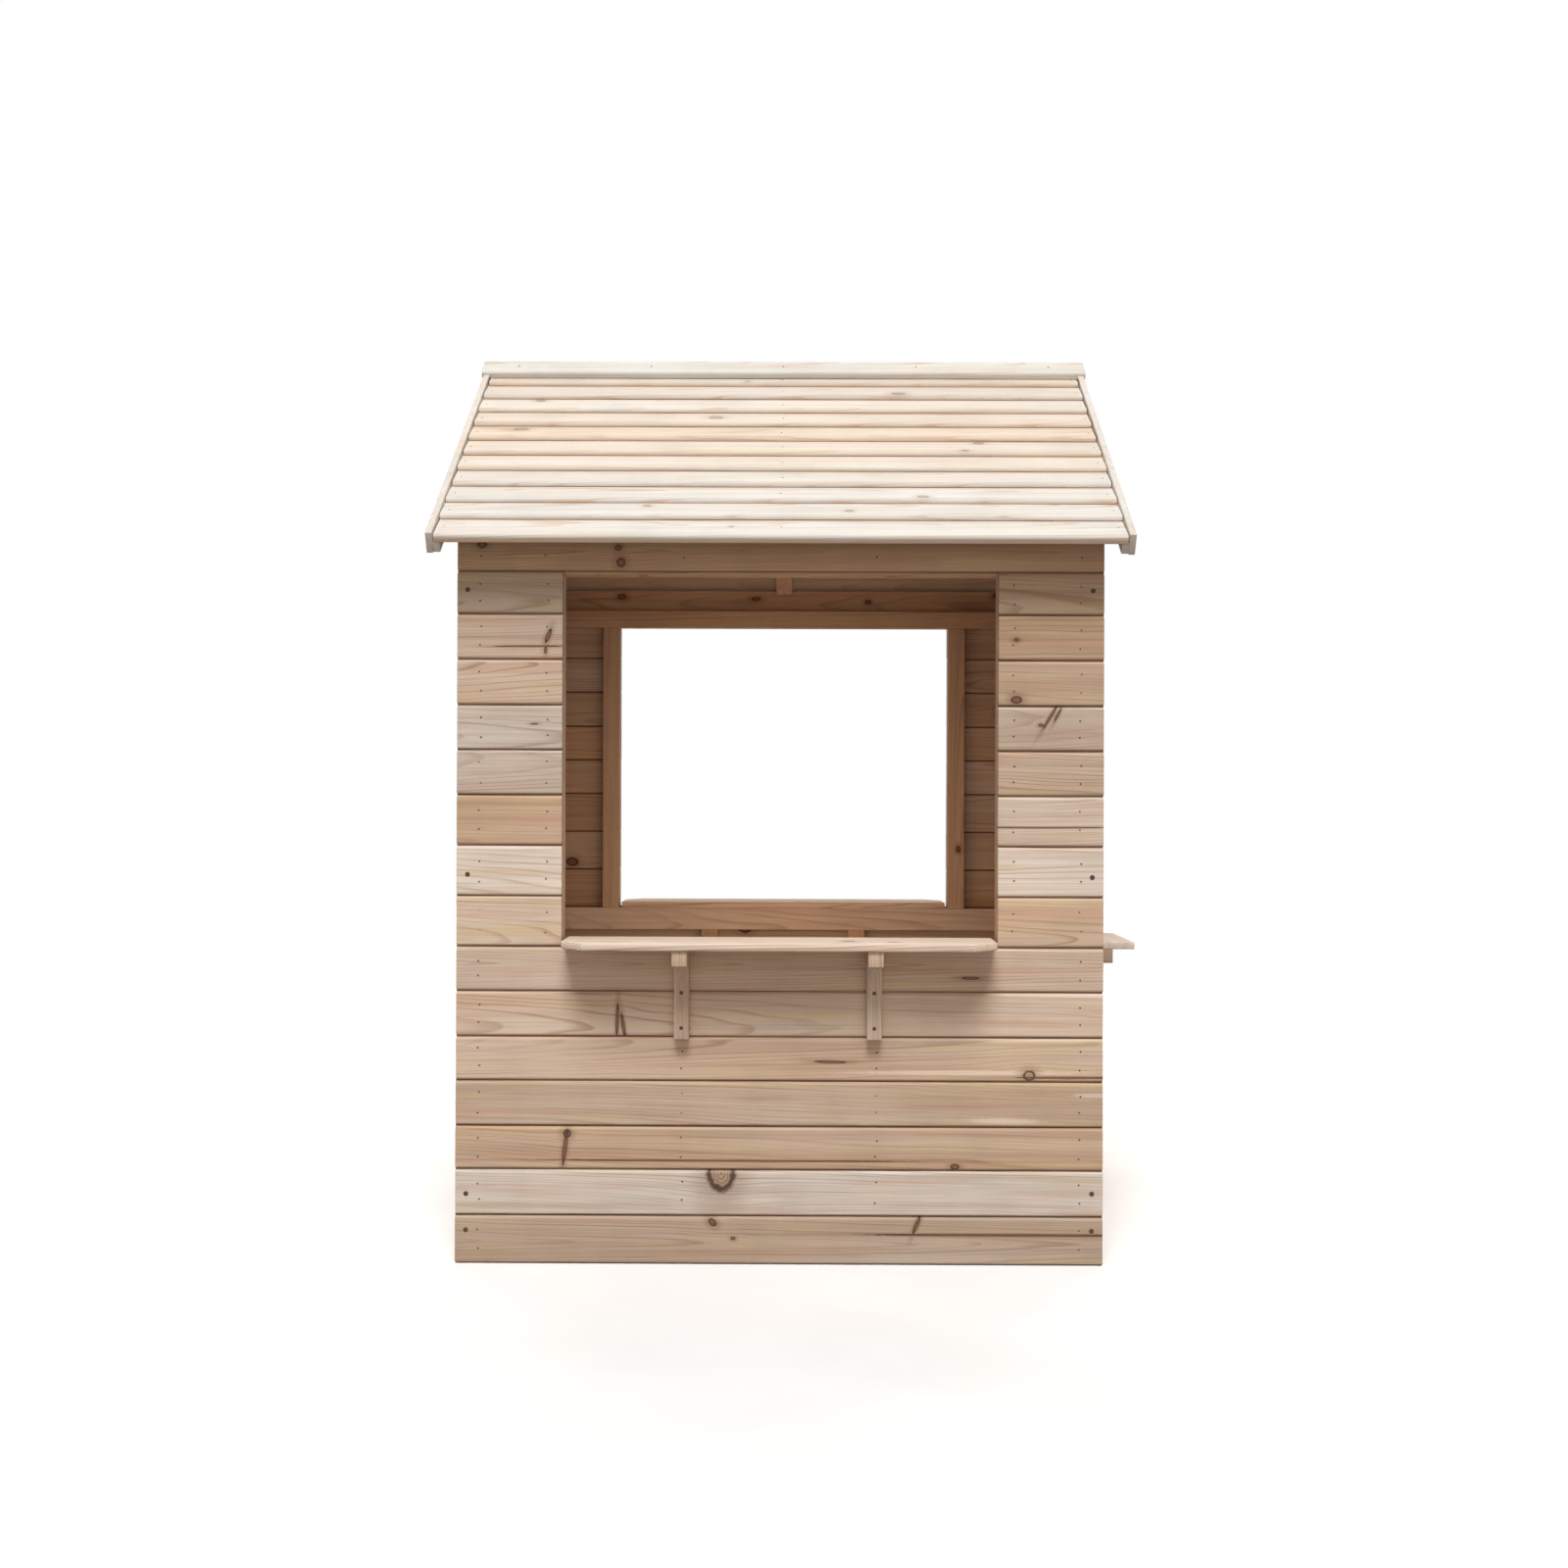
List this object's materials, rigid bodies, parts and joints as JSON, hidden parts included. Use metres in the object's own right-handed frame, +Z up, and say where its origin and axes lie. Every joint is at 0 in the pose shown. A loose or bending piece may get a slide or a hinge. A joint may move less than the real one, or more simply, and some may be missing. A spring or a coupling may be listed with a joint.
{
  "type": "wooden playhouse",
  "caption": "Child's wooden playhouse with a gable roof of lapped boards, open serving windows with outside shelves, a small side window and a hinged door.",
  "frame": {"origin": "centre of the bounding box at ground level", "axes": "+Z up, -Y towards the front serving window, +X towards the gable with the door"},
  "size_m": [1.129, 1.216, 1.5078],
  "materials": {
    "cladding_wood": "planed, bare softwood",
    "frame_wood": "sawn, bare softwood",
    "shelf_wood": "planed, bare softwood",
    "roof_wood": "planed, bare softwood",
    "zinc_steel": "zinc plated"
  },
  "bodies": {
    "house": {"back_header_boards": "cladding_wood", "back_left_barge": "roof_wood", "back_left_boards": "cladding_wood", "back_left_bracket": "cladding_wood", "back_left_corner_post": "frame_wood", "back_left_jamb": "frame_wood", "back_left_stud": "frame_wood", "back_lower_boards": "cladding_wood", "back_middle_rafter": "frame_wood", "back_right_barge": "roof_wood", "back_right_boards": "cladding_wood", "back_right_bracket": "cladding_wood", "back_right_corner_post": "frame_wood", "back_right_jamb": "frame_wood", "back_right_stud": "frame_wood", "back_roof_boards": "roof_wood", "back_shelf": "shelf_wood", "back_sill_rail": "frame_wood", "back_top_rail": "frame_wood", "closed_gable_boards": "cladding_wood", "door_head_rail": "frame_wood", "door_post": "frame_wood", "front_header_boards": "cladding_wood", "front_left_barge": "roof_wood", "front_left_boards": "cladding_wood", "front_left_bracket": "cladding_wood", "front_left_corner_post": "frame_wood", "front_left_jamb": "frame_wood", "front_left_stud": "frame_wood", "front_lower_boards": "cladding_wood", "front_middle_rafter": "frame_wood", "front_right_barge": "roof_wood", "front_right_boards": "cladding_wood", "front_right_bracket": "cladding_wood", "front_right_corner_post": "frame_wood", "front_right_jamb": "frame_wood", "front_right_stud": "frame_wood", "front_roof_boards": "roof_wood", "front_shelf": "shelf_wood", "front_sill_rail": "frame_wood", "front_top_rail": "frame_wood", "gable_boards_below_window": "cladding_wood", "gable_boards_front": "cladding_wood", "gable_boards_middle": "cladding_wood", "gable_boards_rear": "cladding_wood", "gable_boards_top": "cladding_wood", "lower_hinge_frame_leaf": "zinc_steel", "lower_hinge_pin": "zinc_steel", "ridge_cap": "roof_wood", "side_shelf": "shelf_wood", "side_shelf_front_arm": "frame_wood", "side_shelf_rear_arm": "frame_wood", "upper_hinge_frame_leaf": "zinc_steel", "upper_hinge_pin": "zinc_steel"},
    "door": {"door_boards": "cladding_wood", "door_knob": "shelf_wood", "door_lower_ledge": "frame_wood", "door_upper_ledge": "frame_wood", "lower_hinge_door_leaf": "zinc_steel", "upper_hinge_door_leaf": "zinc_steel"}
  },
  "joints": [
    {"name": "door_hinge", "type": "hinge", "parent": "house", "child": "door", "pos_m": [0.4817, 0.476, 0.5], "axis": [0, 0, 1], "range_deg": [0, 170]}
  ]
}
